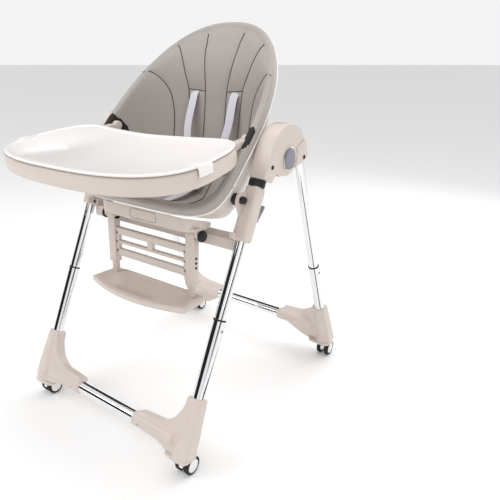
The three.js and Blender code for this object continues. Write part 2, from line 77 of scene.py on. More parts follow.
def mouldedPlastic(name, light, dark, roughness, grain, bump, coat=0.0):
    # injection moulded plastic: a soft sheen, faint clouding and a fine spark-eroded grain
    material, tree, shader = newMaterial(name)
    where = addNode(tree, "TexCoord").outputs["Object"]
    cloud = addNode(tree, "TexNoise", {"Scale": 9.0, "Detail": 3.0}, {"Vector": where})
    colour = addNode(tree, "Mix", {"data_type": "RGBA", 6: linear(dark), 7: linear(light)},
                     {0: cloud.outputs["Fac"]})
    fine = addNode(tree, "TexNoise", {"Scale": 1000 / grain, "Detail": 2.0}, {"Vector": where})
    stains = addNode(tree, "TexNoise", {"Scale": 40.0, "Detail": 4.0}, {"Vector": where})
    rough = addNode(tree, "MapRange", {3: roughness - 0.05, 4: roughness + 0.06},
                    {0: stains.outputs["Fac"]})
    relief = addNode(tree, "Bump", {"Strength": bump, "Distance": 0.0003}, {"Height": fine.outputs["Fac"]})
    tree.links.new(colour.outputs[2], shader.inputs["Base Color"])
    tree.links.new(rough.outputs[0], shader.inputs["Roughness"])
    tree.links.new(relief.outputs["Normal"], shader.inputs["Normal"])
    shader.inputs["IOR"].default_value = 1.49
    shader.inputs["Coat Weight"].default_value = coat
    shader.inputs["Coat Roughness"].default_value = 0.18
    return material


def chromedSteel():
    # bright chrome on drawn tube: mirror clear, with faint lengthwise drawing marks
    material, tree, shader = newMaterial("bright chromed steel")
    where = addNode(tree, "TexCoord").outputs["Object"]
    marks = addNode(tree, "TexNoise", {"Scale": 30.0, "Detail": 5.0}, {"Vector": where})
    rough = addNode(tree, "MapRange", {3: 0.03, 4: 0.10}, {0: marks.outputs["Fac"]})
    tree.links.new(rough.outputs[0], shader.inputs["Roughness"])
    shader.inputs["Base Color"].default_value = linear("#EEEFF1")
    shader.inputs["Metallic"].default_value = 1.0
    return material


def plainMetal(name, colour, roughness):
    # plated steel fixings: a dull even shine with small stains
    material, tree, shader = newMaterial(name)
    where = addNode(tree, "TexCoord").outputs["Object"]
    stains = addNode(tree, "TexNoise", {"Scale": 300.0, "Detail": 3.0}, {"Vector": where})
    rough = addNode(tree, "MapRange", {3: roughness - 0.06, 4: roughness + 0.08}, {0: stains.outputs["Fac"]})
    tree.links.new(rough.outputs[0], shader.inputs["Roughness"])
    shader.inputs["Base Color"].default_value = linear(colour)
    shader.inputs["Metallic"].default_value = 1.0
    return material


def leatherette(name, light, dark, roughness):
    # coated fabric over foam: a pebbled grain of about 1.2 mm, soft sheen, tone varying in broad patches
    material, tree, shader = newMaterial(name)
    where = addNode(tree, "TexCoord").outputs["Object"]
    cloud = addNode(tree, "TexNoise", {"Scale": 7.0, "Detail": 4.0}, {"Vector": where})
    colour = addNode(tree, "Mix", {"data_type": "RGBA", 6: linear(dark), 7: linear(light)},
                     {0: cloud.outputs["Fac"]})
    pebble = addNode(tree, "TexVoronoi", {"Scale": 1000 / 1.6, "feature": "SMOOTH_F1"}, {"Vector": where})
    wrinkle = addNode(tree, "TexNoise", {"Scale": 60.0, "Detail": 6.0, "Roughness": 0.6}, {"Vector": where})
    height = addNode(tree, "Math", {"operation": "MULTIPLY_ADD", 1: 0.5},
                     {0: wrinkle.outputs["Fac"], 2: pebble.outputs["Distance"]})
    relief = addNode(tree, "Bump", {"Strength": 0.35, "Distance": 0.0004}, {"Height": height.outputs[0]})
    rough = addNode(tree, "MapRange", {3: roughness - 0.06, 4: roughness + 0.08}, {0: wrinkle.outputs["Fac"]})
    tree.links.new(colour.outputs[2], shader.inputs["Base Color"])
    tree.links.new(rough.outputs[0], shader.inputs["Roughness"])
    tree.links.new(relief.outputs["Normal"], shader.inputs["Normal"])
    shader.inputs["IOR"].default_value = 1.48
    shader.inputs["Sheen Weight"].default_value = 0.15
    shader.inputs["Sheen Roughness"].default_value = 0.5
    return material


def wovenWebbing():
    # flat polyester webbing: ribs across the strap about 1.5 mm apart, no gloss
    material, tree, shader = newMaterial("woven polyester webbing")
    where = addNode(tree, "UVMap", {"uv_map": "strap"}).outputs["UV"]
    ribs = addNode(tree, "TexWave", {"wave_type": "BANDS", "bands_direction": "Y", "Scale": 100.0,
                                               "Distortion": 1.0}, {"Vector": where})
    warp = addNode(tree, "TexWave", {"wave_type": "BANDS", "bands_direction": "X", "Scale": 200.0},
                   {"Vector": where})
    height = addNode(tree, "Math", {"operation": "MULTIPLY_ADD", 1: 0.4},
                     {0: warp.outputs["Fac"], 2: ribs.outputs["Fac"]})
    # the colour follows the ribs, lighter on their crests and darker between them: painted shade of the grooves
    colour = addNode(tree, "Mix", {"data_type": "RGBA", 6: linear("#C9C6D2"), 7: linear("#EAE8F0")},
                     {0: ribs.outputs["Fac"]})
    relief = addNode(tree, "Bump", {"Strength": 0.5, "Distance": 0.0005}, {"Height": height.outputs[0]})
    tree.links.new(colour.outputs[2], shader.inputs["Base Color"])
    tree.links.new(relief.outputs["Normal"], shader.inputs["Normal"])
    shader.inputs["Roughness"].default_value = 0.8
    shader.inputs["Sheen Weight"].default_value = 0.3
    return material


creamPlastic = mouldedPlastic("cream polypropylene", "#D2C7BF", "#C9BDB4", 0.38, 0.9, 0.12, 0.15)
shellPlastic = mouldedPlastic("cream gloss shell", "#D8CFC8", "#CFC5BD", 0.32, 1.2, 0.06, 0.25)
whitePlastic = mouldedPlastic("near-white tray ABS", "#EFEBE9", "#EAE5E3", 0.30, 1.2, 0.05, 0.3)
greyPlastic = mouldedPlastic("grey moulded ABS", "#8E8B97", "#817E8A", 0.45, 0.8, 0.2)
blackPlastic = mouldedPlastic("black nylon", "#1E1C1C", "#141313", 0.5, 0.8, 0.2)
hoodPlastic = mouldedPlastic("white caster nylon", "#EFEFEE", "#E2E1E0", 0.35, 0.9, 0.08)
tyreRubber = mouldedPlastic("black tyre rubber", "#232121", "#161515", 0.7, 0.7, 0.35)
chrome = chromedSteel()
zincSteel = plainMetal("zinc plated steel", "#B9B6AE", 0.35)
silverRing = plainMetal("silver plated ring", "#D8D3CC", 0.22)
padLeather = leatherette("warm grey leatherette", "#ABA49F", "#9A938E", 0.5)
# dark leatherette for the seam lines, their darkness painted crease shade, and for painted shade at the rim and in the
# strap slots
seamLineAndShade = leatherette("dark seams and painted shade", "#4B4543", "#3B3634", 0.7)
whitePiping = mouldedPlastic("white vinyl piping", "#F2F0EF", "#E6E3E2", 0.4, 1.0, 0.1)
webbing = wovenWebbing()
# dark cream for thin cords that paint the shade of shallow grooves and gaps
grooveShade = mouldedPlastic("shadowed mould line", "#9C8F85", "#90837A", 0.6, 1.0, 0.1)


# ---------- shaping helpers

def shift(x, y, z):
    return Matrix.Translation((x, y, z))


def legFrame(side, end):
    # a leg's own frame: Z runs up the tube, and 0 is level with the hinge
    front = end == "front"
    x = chair["frontX"] if front else chair["rearX"]
    y = chair["hinge"][0] + (-chair["frontAhead"] if front else chair["rearBehind"])
    lean = -chair["frontLean"] if front else chair["rearLean"]
    return shift(side * x, y, chair["hinge"][1]) @ Matrix.Rotation(lean, 4, "X")


def tiltFrame(place, tilt):
    return shift(0, place[0], place[1]) @ Matrix.Rotation(tilt, 4, "X")


bucketFrame = tiltFrame(chair["rim"], -chair["rimTilt"])
trayFrame = tiltFrame(chair["tray"], chair["traySlope"])
hingeFrame = tiltFrame(chair["hinge"], 0)
footrestFrame = tiltFrame(chair["footrest"], 0)
# an outline drawn in (y, z) and pushed out along X, and one drawn in (x, z) and pushed along Y
sideways = Matrix(((0, 0, 1, 0), (1, 0, 0, 0), (0, 1, 0, 0), (0, 0, 0, 1)))
facing = Matrix(((1, 0, 0, 0), (0, 0, 1, 0), (0, 1, 0, 0), (0, 0, 0, 1)))


alongX = Matrix.Rotation(math.radians(90), 4, "Y")


def mirrorOf(side):
    return Matrix.Scale(side, 4, (1, 0, 0))


def along(end, z):
    lean = chair["frontLean"] if end == "front" else chair["rearLean"]
    return (z - chair["hinge"][1]) / math.cos(lean)


def loft(rings, closed=True, caps=(True, True)):
    # carries a ring of points through the others by extruding its edges
    bm = bmesh.new()
    current = [bm.verts.new(p) for p in rings[0]]
    count = len(current)
    pairs = count if closed else count - 1
    edges = [bm.edges.new((current[i], current[(i + 1) % count])) for i in range(pairs)]
    first = list(edges)
    for ring in rings[1:]:
        made = bmesh.ops.extrude_edge_only(bm, edges=edges)["geom"]
        fresh = {v for v in made if isinstance(v, bmesh.types.BMVert)}
        step = []
        for old, point in zip(current, ring):
            new = next(e.other_vert(old) for e in old.link_edges if e.other_vert(old) in fresh)
            new.co = point
            step.append(new)
        current = step
        edges = [bm.edges.get((current[i], current[(i + 1) % count])) for i in range(pairs)]
    for wanted, loop in zip(caps, (first, edges)):
        if wanted:
            bmesh.ops.triangle_fill(bm, edges=loop, use_beauty=True)
    return bm


def arc(cx, cy, radius, start, end, steps):
    turn = [math.radians(start + (end - start) * i / steps) for i in range(steps + 1)]
    return [(cx + radius * math.cos(a), cy + radius * math.sin(a)) for a in turn]


def rounded(corners, steps=5):
    # an outline from (x, y, radius) corners, each one rounded
    points = []
    for i, (x, y, radius) in enumerate(corners):
        here = Vector((x, y))
        before = Vector(corners[i - 1][:2]) - here
        after = Vector(corners[(i + 1) % len(corners)][:2]) - here
        if radius <= 0:
            points.append((x, y))
            continue
        half = before.angle(after) / 2
        reach = min(radius / math.tan(half), before.length * 0.48, after.length * 0.48)
        for k in range(steps + 1):
            t = k / steps
            p = here + before.normalized() * reach * (1 - t) ** 2 + after.normalized() * reach * t ** 2
            points.append((p.x, p.y))
    return points


def prism(outline, low, high, edge=0.0, steps=3):
    # a flat outline given a thickness, with its rims rounded
    bm = bmesh.new()
    verts = [bm.verts.new((x, y, low)) for x, y in outline]
    face = bm.faces.new(verts)
    made = bmesh.ops.extrude_face_region(bm, geom=[face])["geom"]
    top = [v for v in made if isinstance(v, bmesh.types.BMVert)]
    bmesh.ops.translate(bm, verts=top, vec=(0, 0, high - low))
    bmesh.ops.recalc_face_normals(bm, faces=bm.faces)
    if edge:
        rims = [e for e in bm.edges if abs(e.verts[0].co.z - e.verts[1].co.z) < 1e-5]
        bmesh.ops.bevel(bm, geom=rims, offset=edge, offset_type="OFFSET", affect="EDGES",
                        segments=steps, profile=0.5, material=-1, clamp_overlap=True)
    return bm


def turned(profile, steps=48):
    # a profile of (radius, height) spun about Z
    bm = bmesh.new()
    verts = [bm.verts.new((r, 0, h)) for r, h in profile]
    edges = [bm.edges.new(pair) for pair in zip(verts, verts[1:])]
    bmesh.ops.spin(bm, geom=verts + edges, cent=(0, 0, 0), axis=(0, 0, 1), angle=2 * math.pi,
                   steps=steps, use_merge=True, use_duplicate=False)
    bmesh.ops.remove_doubles(bm, verts=bm.verts, dist=1e-4)
    return bm


def tubeProfile(outer, inner, low, high, lip=0.5):
    return [(inner, low), (outer - lip, low), (outer, low + lip), (outer, high - lip), (outer - lip, high),
            (inner, high), (inner, low)]


def rodProfile(radius, low, high, lip=1.0):
    return [(0, low), (radius - lip, low), (radius - lip * 0.3, low + lip * 0.3), (radius, low + lip),
            (radius, high - lip), (radius - lip * 0.3, high - lip * 0.3), (radius - lip, high), (0, high)]


def cuboid(x0, x1, y0, y1, z0, z1, edge=1.0, steps=3):
    bm = bmesh.new()
    bmesh.ops.create_cube(bm, size=1.0)
    bmesh.ops.scale(bm, vec=(x1 - x0, y1 - y0, z1 - z0), verts=bm.verts)
    bmesh.ops.translate(bm, vec=((x0 + x1) / 2, (y0 + y1) / 2, (z0 + z1) / 2), verts=bm.verts)
    if edge:
        bmesh.ops.bevel(bm, geom=list(bm.edges), offset=edge, offset_type="OFFSET", affect="EDGES",
                        segments=steps, profile=0.5, material=-1, clamp_overlap=True)
    return bm


def cord(points, radius, steps=8, closed=False):
    # a round cord through points, its rings square to its path
    path = [Vector(p) for p in points]
    count = len(path)
    rings = []
    up = Vector((0, 0, 1))
    for i, here in enumerate(path):
        ahead = path[(i + 1) % count] if closed or i + 1 < count else here
        behind = path[i - 1] if closed or i else here
        way = (ahead - behind).normalized()
        across = way.cross(up)
        if across.length < 0.05:
            across = way.cross(Vector((1, 0, 0)))
        across.normalize()
        lift = across.cross(way).normalized()
        rings.append([here + across * radius * math.cos(2 * math.pi * k / steps)
                      + lift * radius * math.sin(2 * math.pi * k / steps) for k in range(steps)])
    if closed:
        rings.append(rings[0])
    return loft(rings, True, (not closed, not closed))


def moved(bm, matrix):
    bmesh.ops.transform(bm, matrix=matrix, verts=bm.verts)
    return bm


def joined(*parts):
    # several closed shapes in one piece
    whole = bmesh.new()
    for part in parts:
        mesh = bpy.data.meshes.new("part")
        part.to_mesh(mesh)
        part.free()
        whole.from_mesh(mesh)
        bpy.data.meshes.remove(mesh)
    return whole


def makePiece(name, bm, material, body, replaced=(), place=Matrix.Identity(4), sharp=38, turn=True):
    bmesh.ops.transform(bm, matrix=Matrix.Scale(0.001, 4) @ place, verts=bm.verts)
    bmesh.ops.remove_doubles(bm, verts=bm.verts, dist=1e-6)
    if turn:
        bmesh.ops.recalc_face_normals(bm, faces=bm.faces)
    mesh = bpy.data.meshes.new(name)
    bm.to_mesh(mesh)
    bm.free()
    mesh.materials.append(material)
    mesh.shade_smooth()
    mesh.set_sharp_from_angle(angle=math.radians(sharp))
    piece = bpy.data.objects.new(name, mesh)
    linkObject(piece)
    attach(piece, body)
    if replaced:
        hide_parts(*replaced)
    return piece


def linkObject(thing):
    bpy.context.scene.collection.objects.link(thing)


def applyModifiers(piece):
    bpy.context.view_layer.update()
    graph = bpy.context.evaluated_depsgraph_get()
    mesh = bpy.data.meshes.new_from_object(piece.evaluated_get(graph))
    piece.modifiers.clear()
    piece.data = mesh


# ---------- legs

legs = {"lower": 16.0, "upper": 14.2, "wall": 1.4, "ring": 372, "lowEnd": 100}


def makeLegs():
    for name, side in sides:
        for end in ("front", "rear"):
            body = f"{end}_frame"
            place = legFrame(side, end)
            low, ring = along(end, legs["lowEnd"]), along(end, legs["ring"])
            makePiece(f"{end}_tube_lower_{name}",
                      turned(tubeProfile(legs["lower"], legs["lower"] - legs["wall"], low, ring, 0.6)),
                      chrome, body, [f"{end}_leg_lower_{name}"], place)
            makePiece(f"{end}_tube_upper_{name}",
                      turned(tubeProfile(legs["upper"], legs["upper"] - legs["wall"], ring - 66, 12, 0.6)),
                      chrome, body, [f"{end}_leg_upper_{name}"], place)
            # dark bush where the thinner tube leaves the thicker one
            makePiece(f"{end}_bush_{name}",
                      turned([(14.4, ring + 0.2), (16.1, ring + 0.2), (16.1, ring + 2.6), (15.2, ring + 3.6),
                              (14.4, ring + 3.6), (14.4, ring + 0.2)]),
                      blackPlastic, body, (), place)
            button = turned([(0, 18.6), (2.2, 18.4), (3.6, 17.4), (4.2, 16.1), (4.2, 14), (0, 14)], 24)
            aim = shift(0, 0, ring - 24) @ alongX
            makePiece(f"{end}_snap_{name}", moved(button, mirrorOf(side) @ aim), zincSteel, body,
                      (), place)
    for name, y, z, half, body in (("front", -330, 90, 200, "front_frame"), ("rear", 359, 132, 210, "rear_frame")):
        bar = moved(turned(tubeProfile(16, 14.6, -half, half, 0.5)), alongX)
        makePiece(f"{name}_cross_tube", bar, chrome, body, [f"{name}_crossbar"],
                  shift(0, y, z))


feet = {
    "front": {"x": 270, "inner": 105, "cross": 90, "neck": 194, "floorY": -362.6, "barY": -330, "casterY": -335},
    "rear": {"x": 280, "inner": 127, "cross": 132, "neck": 208, "floorY": 437.7, "barY": 359, "casterY": 405},
}


def footShape(end):
    # one smooth moulding over the leg, the crossbar and the caster, made as a blend of simple forms
    f = feet[end]
    lean = chair["frontLean"] if end == "front" else -chair["rearLean"]
    x, inner, cross, neck = f["x"], f["inner"], f["cross"], f["neck"]
    c = math.cos(lean)
    outline = rounded([
        (inner + 8, (cross - 18) / c, 6), (x - 74, 66 / c, 30), (x - 44, 56 / c, 14), (x + 24, 55 / c, 8),
        (x + 29, 66 / c, 12), (x + 27, 110 / c, 30), (x + 20, neck / c, 3), (x - 20, neck / c, 3),
        (x - 24, (cross + 74) / c, 30), (x - 42, (cross + 44) / c, 40), (x - 74, (cross + 24) / c, 40),
        (inner + 8, (cross + 18) / c, 6),
    ])
    tilt = shift(0, f["floorY"], 0) @ Matrix.Rotation(-lean, 4, "X")
    web = moved(prism(outline, -17, 17, 9, 4), tilt @ facing)
    sleeve = moved(turned([(0, 60), (21, 60), (21, neck / c - 2), (19.5, neck / c), (0, neck / c)]),
                   tilt @ shift(x, 0, 0))
    arm = moved(turned([(0, inner), (18.5, inner), (19.8, inner + 2), (20.5, x - 30), (0, x - 20)]),
                shift(0, f["barY"], cross) @ alongX)
    cup = turned([(0, 53), (28, 53), (28.5, 60), (25, 74), (16, 92), (0, 104)])
    moved(cup, shift(x, f["casterY"], 0))
    return joined(web, sleeve, arm, cup)


def makeFeet():
    for end in ("front", "rear"):
        f = feet[end]
        for name, side in sides:
            body = f"{end}_frame"
            foot = makePiece(f"{end}_foot_cover_{name}", footShape(end), creamPlastic, body,
                             [f"{end}_foot_{name}"], mirrorOf(side))
            remesh = foot.modifiers.new("blend", "REMESH")
            remesh.mode = "VOXEL"
            remesh.voxel_size = 0.0026
            smooth = foot.modifiers.new("soften", "SMOOTH")
            smooth.factor = 0.6
            smooth.iterations = 5
            applyModifiers(foot)
            foot.data.shade_smooth()
            trimFoot(foot)
            x = f["x"]
            skirt = rounded([(x - 52, -26, 22), (x + 27, -30, 20), (x + 30, 30, 24), (x - 40, 28, 22)], 6)
            inward = 3 if end == "front" else -3
            lower = moved(prism(skirt, 52.2, 60, 2.5, 3), shift(0, f["casterY"] + inward, 0))
            makePiece(f"{end}_foot_skirt_{name}", lower,
                      creamPlastic, body, (), mirrorOf(side))
            screw = turned([(0, 0), (3.2, 0), (3.6, -0.8), (3.6, -3), (0, -3)], 20)
            aim = shift(f["inner"] + 26, f["barY"] - (20.3 if end == "front" else -20.3), f["cross"])
            aim = aim @ Matrix.Rotation(math.radians(90 if end == "front" else -90), 4, "X")
            makePiece(f"{end}_foot_screw_{name}", moved(screw, mirrorOf(side) @ aim), zincSteel, body)


def trimFoot(foot):
    # the bottom is cut flat above the caster
    bm = bmesh.new()
    bm.from_mesh(foot.data)
    bmesh.ops.bisect_plane(bm, geom=bm.verts[:] + bm.edges[:] + bm.faces[:], plane_co=(0, 0, 0.0535),
                           plane_no=(0, 0, -1), clear_outer=True)
    bmesh.ops.holes_fill(bm, edges=[e for e in bm.edges if e.is_boundary], sides=0)
    bm.to_mesh(foot.data)
    bm.free()
    foot.data.shade_smooth()
    foot.data.set_sharp_from_angle(angle=math.radians(50))


casters = {"radius": 25.0, "trail": 18, "hoodRadius": 26.2}


def makeCasters():
    for name, side in sides:
        for end, x, y in (("front", 270, -335), ("rear", 280, 405)):
            at = shift(side * x, y, 0)
            hood = f"caster_{end}_{name}"
            trail, radius = casters["trail"], casters["radius"]
            cover = arc(trail, radius, casters["hoodRadius"], 8, 178, 20) + arc(trail, radius, 6.5, 178, 8, 10)
            plate = moved(prism(cover, -5.8, 5.8, 1.2, 2), sideways)
            stem = turned([(0, 40), (8.4, 40), (8.4, 49.5), (5, 50.5), (5, 62), (0, 62)], 28)
            makePiece(f"caster_fork_{end}_{name}", joined(plate, stem), hoodPlastic, hood,
                      [f"caster_hood_{end}_{name}"], at)
            spin = shift(0, trail, radius) @ alongX
            tyres = []
            hubs = []
            for k in (-1, 1):
                tread = [(19, 7), (23.6, 6.8), (24.7, 7.6), (25, 9), (25, 17.2), (24.6, 18.8), (23.2, 20), (19.5, 20.6),
                         (18.2, 19.6), (18.2, 8), (19, 7)]
                tyres.append(turned([(r, k * h) for r, h in tread], 40))
                cap = [(0, 21), (6, 20.8), (8, 19.8), (16.5, 19.4), (17.6, 20.2), (18.1, 19.4), (18.1, 7.4), (0, 7.4)]
                hubs.append(turned([(r, k * h) for r, h in cap], 40))
            hubs.append(turned(rodProfile(3.2, -9, 9, 0.3), 16))
            wheels = f"caster_wheels_{end}_{name}"
            makePiece(f"tyres_{end}_{name}", moved(joined(*tyres), spin), tyreRubber, wheels,
                      [wheels], at)
            makePiece(f"hubs_{end}_{name}", moved(joined(*hubs), spin), hoodPlastic, wheels,
                      (), at)


# ---------- hinges

hinges = {"radius": 84, "inner": 254.4, "outer": 299.5, "hub": 41.5}


def legSide(end, perp, down):
    # a point by its distance from the hinge square to a leg, and down along the leg
    lean = chair["frontLean"] if end == "front" else chair["rearLean"]
    k = -1 if end == "front" else 1
    return (k * (perp * math.cos(lean) + down * math.sin(lean)), perp * math.sin(lean) - down * math.cos(lean))


def makeHinges():
    r, hub = hinges["radius"], hinges["hub"]
    for name, side in sides:
        turn = mirrorOf(side)
        # front half: dome, leg socket and hub in one outline
        start = math.degrees(math.asin(6 / r)) + 24.1
        dome = arc(0, 0, r, start, 155.7, 40)
        toe = [legSide("front", across, down) for across, down in (
            (84, 40), (84, 70), (82, 73), (45, 73), (43, 70), (42, 62), (38, 52), (33, 46))]
        under = [(-40, -37.5), (-30, -38.5), (-20, -39.5)]
        ring = arc(0, 0, hub, -104, 30, 30)
        split = [legSide("rear", 60, -6), legSide("rear", 78, -6)]
        front = prism(dome + toe + under + ring + split, hinges["inner"], hinges["outer"], 5, 5)
        makePiece(f"hinge_cover_front_{name}", moved(front, sideways), creamPlastic, "front_frame",
                  [f"hinge_front_{name}"], turn @ hingeFrame)
        # rear half: a block on the rear leg that nests round the hub
        outer = [legSide("rear", across, down) for across, down in (
            (87, -5.2), (87.6, 0), (87.6, 43), (85, 46), (50, 46), (48.6, 44))]
        nest = arc(0, 0, hub + 0.9, -40, 29.2, 16)
        rear = prism(list(reversed(outer)) + [legSide("rear", 60, -5.2)] + list(reversed(nest)), 263.4, 300.5, 4, 4)
        makePiece(f"hinge_cover_rear_{name}", moved(rear, sideways), creamPlastic, "rear_frame",
                  [f"hinge_rear_{name}"], turn @ hingeFrame)
        button = turned([(0, 296), (24.6, 296), (25, 300), (24.4, 303.4), (22.6, 305), (19, 305.7), (0, 306)], 64)
        makePiece(f"fold_button_cap_{name}", moved(button, alongX), greyPlastic,
                  f"fold_button_{name}", [f"fold_button_{name}"], turn @ hingeFrame)
        bezel = turned([(25.6, 298.5), (28.4, 298.5), (29.2, 300.5), (28.6, 302.6), (27.2, 303.4), (25.9, 302.8),
                        (25.4, 301), (25.6, 298.5)], 64)
        makePiece(f"fold_button_ring_{name}", moved(bezel, alongX), silverRing,
                  "front_frame", (), turn @ hingeFrame)
        for end, y, z in (("front", -38, 720), ("rear", 113, 724)):
            well = turned([(0, 0), (4.4, 0), (4.4, 0.9), (5.2, 0.9), (5.2, -1.5), (0, -1.5)], 24)
            at = shift(hinges["outer"] + (0.2 if end == "front" else 1.2), y, z)
            makePiece(f"hinge_screw_{end}_{name}", moved(well, turn @ at @ alongX),
                      blackPlastic, f"{end}_frame")
        low, high = along("front", 674), along("front", 690) - 0.4
        collar = turned([(14.8, low), (19.6, low), (20.4, low + 1), (20.4, high - 1), (19.6, high), (14.8, high),
                         (14.8, low)])
        makePiece(f"collar_{name}", collar, blackPlastic, "front_frame",
                  [f"leg_collar_{name}"],
                  legFrame(side, "front"))


# ---------- seat carriage

carriage = {"half": 19.5}


def sleeveRing(z, inset=0.0):
    half = carriage["half"] - inset
    outline = rounded([(-half + 0.5, -half, 9), (half, -half, 9), (half, half, 9), (-half + 0.5, half, 9)], 6)
    return [(x, y, z) for x, y in outline]


def makeCarriage():
    low, top = along("front", 551), along("front", 672)
    for name, side in sides:
        place = legFrame(side, "front") @ mirrorOf(side)
        body = loft([sleeveRing(low, 3), sleeveRing(low + 2, 1), sleeveRing(low + 8), sleeveRing(top - 20),
                     sleeveRing(top - 3, 0.6), sleeveRing(top, 2.2)])
        c = Vector((0, chair["recline"][0] - chair["hinge"][0] + chair["frontAhead"],
                    chair["recline"][1] - chair["hinge"][1]))
        c = Matrix.Rotation(chair["frontLean"], 4, "X") @ c
        wing = rounded([(-8, c.z + 34, 2), (-8, c.z - 44, 4), (-24, c.z - 30, 14), (c.y - 13, c.z - 8, 10),
                        (c.y - 13, c.z + 10, 10), (-24, c.z + 20, 12)], 6)
        lobe = moved(prism(wing, -17.6, -9.2, 1.6, 3), sideways)
        flange = cuboid(-19, -6, -30, 10, low + 2, low + 16, 2)
        makePiece(f"height_sleeve_{name}", joined(body, lobe, flange), creamPlastic, "seat_carriage",
                  [f"sleeve_{name}"], place)
        root = low + 58
        paddle = rounded([(20.4, root - 4, 2), (26, root - 4, 3), (33, root + 14, 10), (42, root + 36, 3), (37, root + 41, 2),
                          (27, root + 20, 8), (20.4, root + 10, 3)], 4)
        makePiece(f"height_paddle_{name}", moved(prism(paddle, 0, 15, 1.2, 3), sideways), greyPlastic,
                  f"height_lever_{name}", [f"height_lever_{name}"], place)
        screw = turned([(0, 0), (3.6, 0), (3.8, -0.6), (3.8, -2.5), (0, -2.5)], 20)
        at = shift(6, 20, low + 24) @ Matrix.Rotation(math.radians(-90), 4, "X")
        makePiece(f"sleeve_screw_{name}", moved(screw, at), blackPlastic, "seat_carriage",
                  (), place)
        bolt = turned([(0, 275), (5.4, 274.6), (8.2, 272.5), (9, 269.6), (9, 262), (5, 261.8), (5, 250), (14, 249.8),
                       (14, 241.8), (0, 241.8)], 36)
        makePiece(f"recline_bolt_{name}", moved(bolt, alongX), blackPlastic,
                  "bucket", [f"seat_bracket_{name}"],
                  mirrorOf(side) @ tiltFrame(chair["recline"], 0))
    section = rounded([(-112, 520.5, 5), (-66.5, 520.5, 5), (-66.5, 551, 4), (-112, 551, 4)], 4)
    beam = moved(prism(section, -251.5, 251.5, 1.5, 2), sideways)
    uprights = []
    for side in (-1, 1):
        plate = rounded([(-112, 522, 3), (-66, 522, 3), (-60, 600, 10), (-57, 628, 5), (-79, 631, 6), (-111, 566, 16)], 4)
        upright = moved(prism(plate, 242.5, 251.6, 1.5, 2), mirrorOf(side) @ sideways)
        uprights.append(upright)
    makePiece("carriage_beam", joined(beam, *uprights), creamPlastic, "seat_carriage",
              ["seat_crossbeam"])


# ---------- seat base and footrest

seatBase = {"front": -171, "rear": -113, "half": 178, "corner": 46}


def baseRing(inset, z, drop=0.0):
    b = seatBase
    half, front = b["half"] - inset, b["front"] + inset
    corner = b["corner"] - inset
    points = [(-half, b["rear"])] + arc(-half + corner, front + corner, corner, 180, 270, 12)
    points += arc(half - corner, front + corner, corner, 270, 360, 12) + [(half, b["rear"])]
    return [(x, y, z + drop * max(0.0, min(1.0, (y - front) / (b["rear"] - b["front"])))) for x, y in points]


def bowlTouch(x, y, high=640):
    # the highest z at (x, y) that is still clear of the bowl
    toBucket = bucketFrame.inverted()
    z = 560
    while z < high:
        here = toBucket @ Vector((x, y, z))
        angle, share = bowlShare(here.x, here.z, 0)
        if share < 1 and here.y < bowlPoint(angle, share, 0, 0).y + 8:
            break
        z += 1
    return z


def fasciaTop(inset, under):
    return [(x, y, bowlTouch(x, y) - under) for x, y, _ in baseRing(inset, 0)]


def makeSeatBase():
    # the front skirt: an open wall that follows the bowl above and rises towards the back below
    outer = [baseRing(6, 559, 8), baseRing(1.5, 562, 8), baseRing(0, 567, 5), fasciaTop(0, 6), fasciaTop(1.2, 4.6),
             fasciaTop(3.4, 4.6)]
    inner = [fasciaTop(4, 8), baseRing(4, 565, 8), baseRing(6, 559, 8)]
    wall = loft(outer + inner, False, (False, False))
    ends = [e for e in wall.edges if e.is_boundary]
    bmesh.ops.holes_fill(wall, edges=ends, sides=0)
    floor = cuboid(-173, 173, -166, -113, 570, 574, 0.8, 2)
    ears = []
    for side in (-1, 1):
        ear = rounded([(-154, 572, 1), (-154, 546, 12), (-140, 537, 12), (-126, 546, 12), (-126, 572, 1)], 5)
        ears.append(moved(prism(ear, 158.2, 165.8, 1, 2), mirrorOf(side) @ sideways))
    web = cuboid(-117, 117, -119.5, -113, 528, 574, 1.5)
    makePiece("seat_skirt", joined(wall, floor, web, *ears), creamPlastic, "seat_carriage",
              ["seat_base"])
    # a dark cord round a shallow panel on the skirt's face: painted shade of the panel's groove
    panel = rounded([(-46, 566, 9), (46, 566, 9), (46, 592, 9), (-46, 592, 9)], 6)
    path = [(x, seatBase["front"] - 0.2, z) for x, z in panel]
    makePiece("skirt_panel_shade_line", cord(path, 0.7, 6, True), grooveShade, "seat_carriage")


def ladderFrame():
    # a ladder cut from one plate, with deep rails
    def bar(x0, x1, z0, z1):
        return cuboid(x0, x1, -9, 5, z0, z1, 2.2, 3)
    parts = [bar(-131, 131, -53, -33), bar(-131, 131, -79, -71), bar(-131, 131, -116, -96), bar(-9, 9, -74, -50)]
    for side in (-1, 1):
        end = moved(bar(119, 131, -106, -44), mirrorOf(side))
        rail = moved(cuboid(128, 156, -14, 10, -138, 0, 3, 3), mirrorOf(side))
        head = moved(turned(rodProfile(13, 128, 156, 1.5), 36),
                     mirrorOf(side) @ shift(0, -1, 0) @ alongX)
        parts += [end, rail, head]
    return joined(*parts)


def plateRing(inset, z):
    half = 172 - inset
    bow = [(half * (k / 12 - 1), 0) for k in range(25)]
    front = [(x, -68 - (37 - inset) * (1 - (x / half) ** 2) + inset * 0.4) for x, _ in bow]
    rear = rounded([(half, -68 + inset * 0.4, 0), (half - 4, 20 - inset, 8), (120, 28 - inset, 16), (-120, 28 - inset, 16),
                    (-half + 4, 20 - inset, 8), (-half, -68 + inset * 0.4, 0)], 5)[1:-1]
    return [(x, y, z) for x, y in front + rear]


